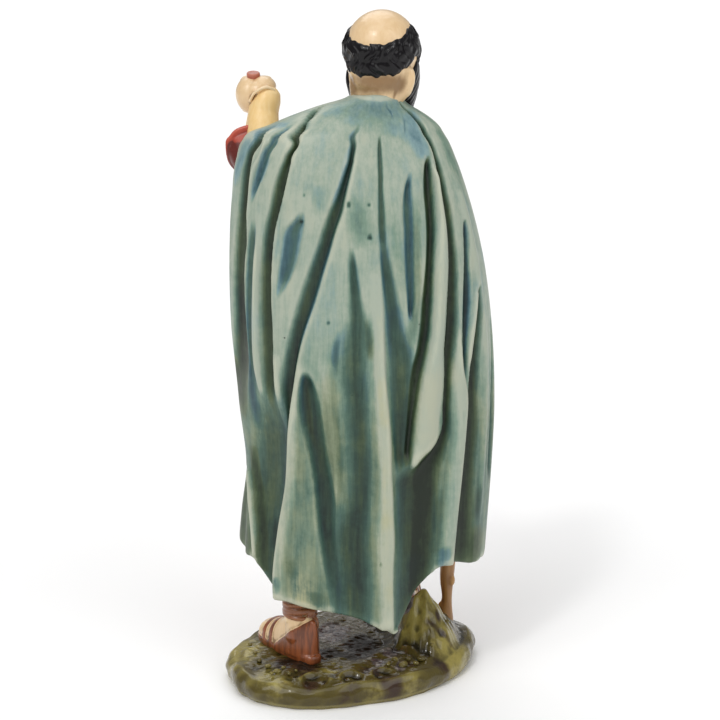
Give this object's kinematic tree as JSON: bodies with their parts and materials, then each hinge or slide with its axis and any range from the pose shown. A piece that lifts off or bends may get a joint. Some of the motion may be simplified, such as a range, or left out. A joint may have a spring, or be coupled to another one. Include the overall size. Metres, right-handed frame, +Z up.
{
  "type": "nativity shepherd figurine",
  "caption": "Painted cast figurine of a bearded shepherd in a long draped cloak, leaning on a walking stick, on its own oval piece of rocky ground.",
  "frame": {"origin": "centre of the oval ground's flat underside", "axes": "+Z up through the figure, -Y the way the figure's body faces, +X towards the figure's own left hand"},
  "size_m": [0.0815, 0.0687, 0.2002],
  "materials": {
    "painted_casting": "hand-painted casting under a satin varnish, glossier on the ground and the hair"
  },
  "bodies": {
    "root": {"shepherd_figurine": "painted_casting"}
  },
  "joints": []
}
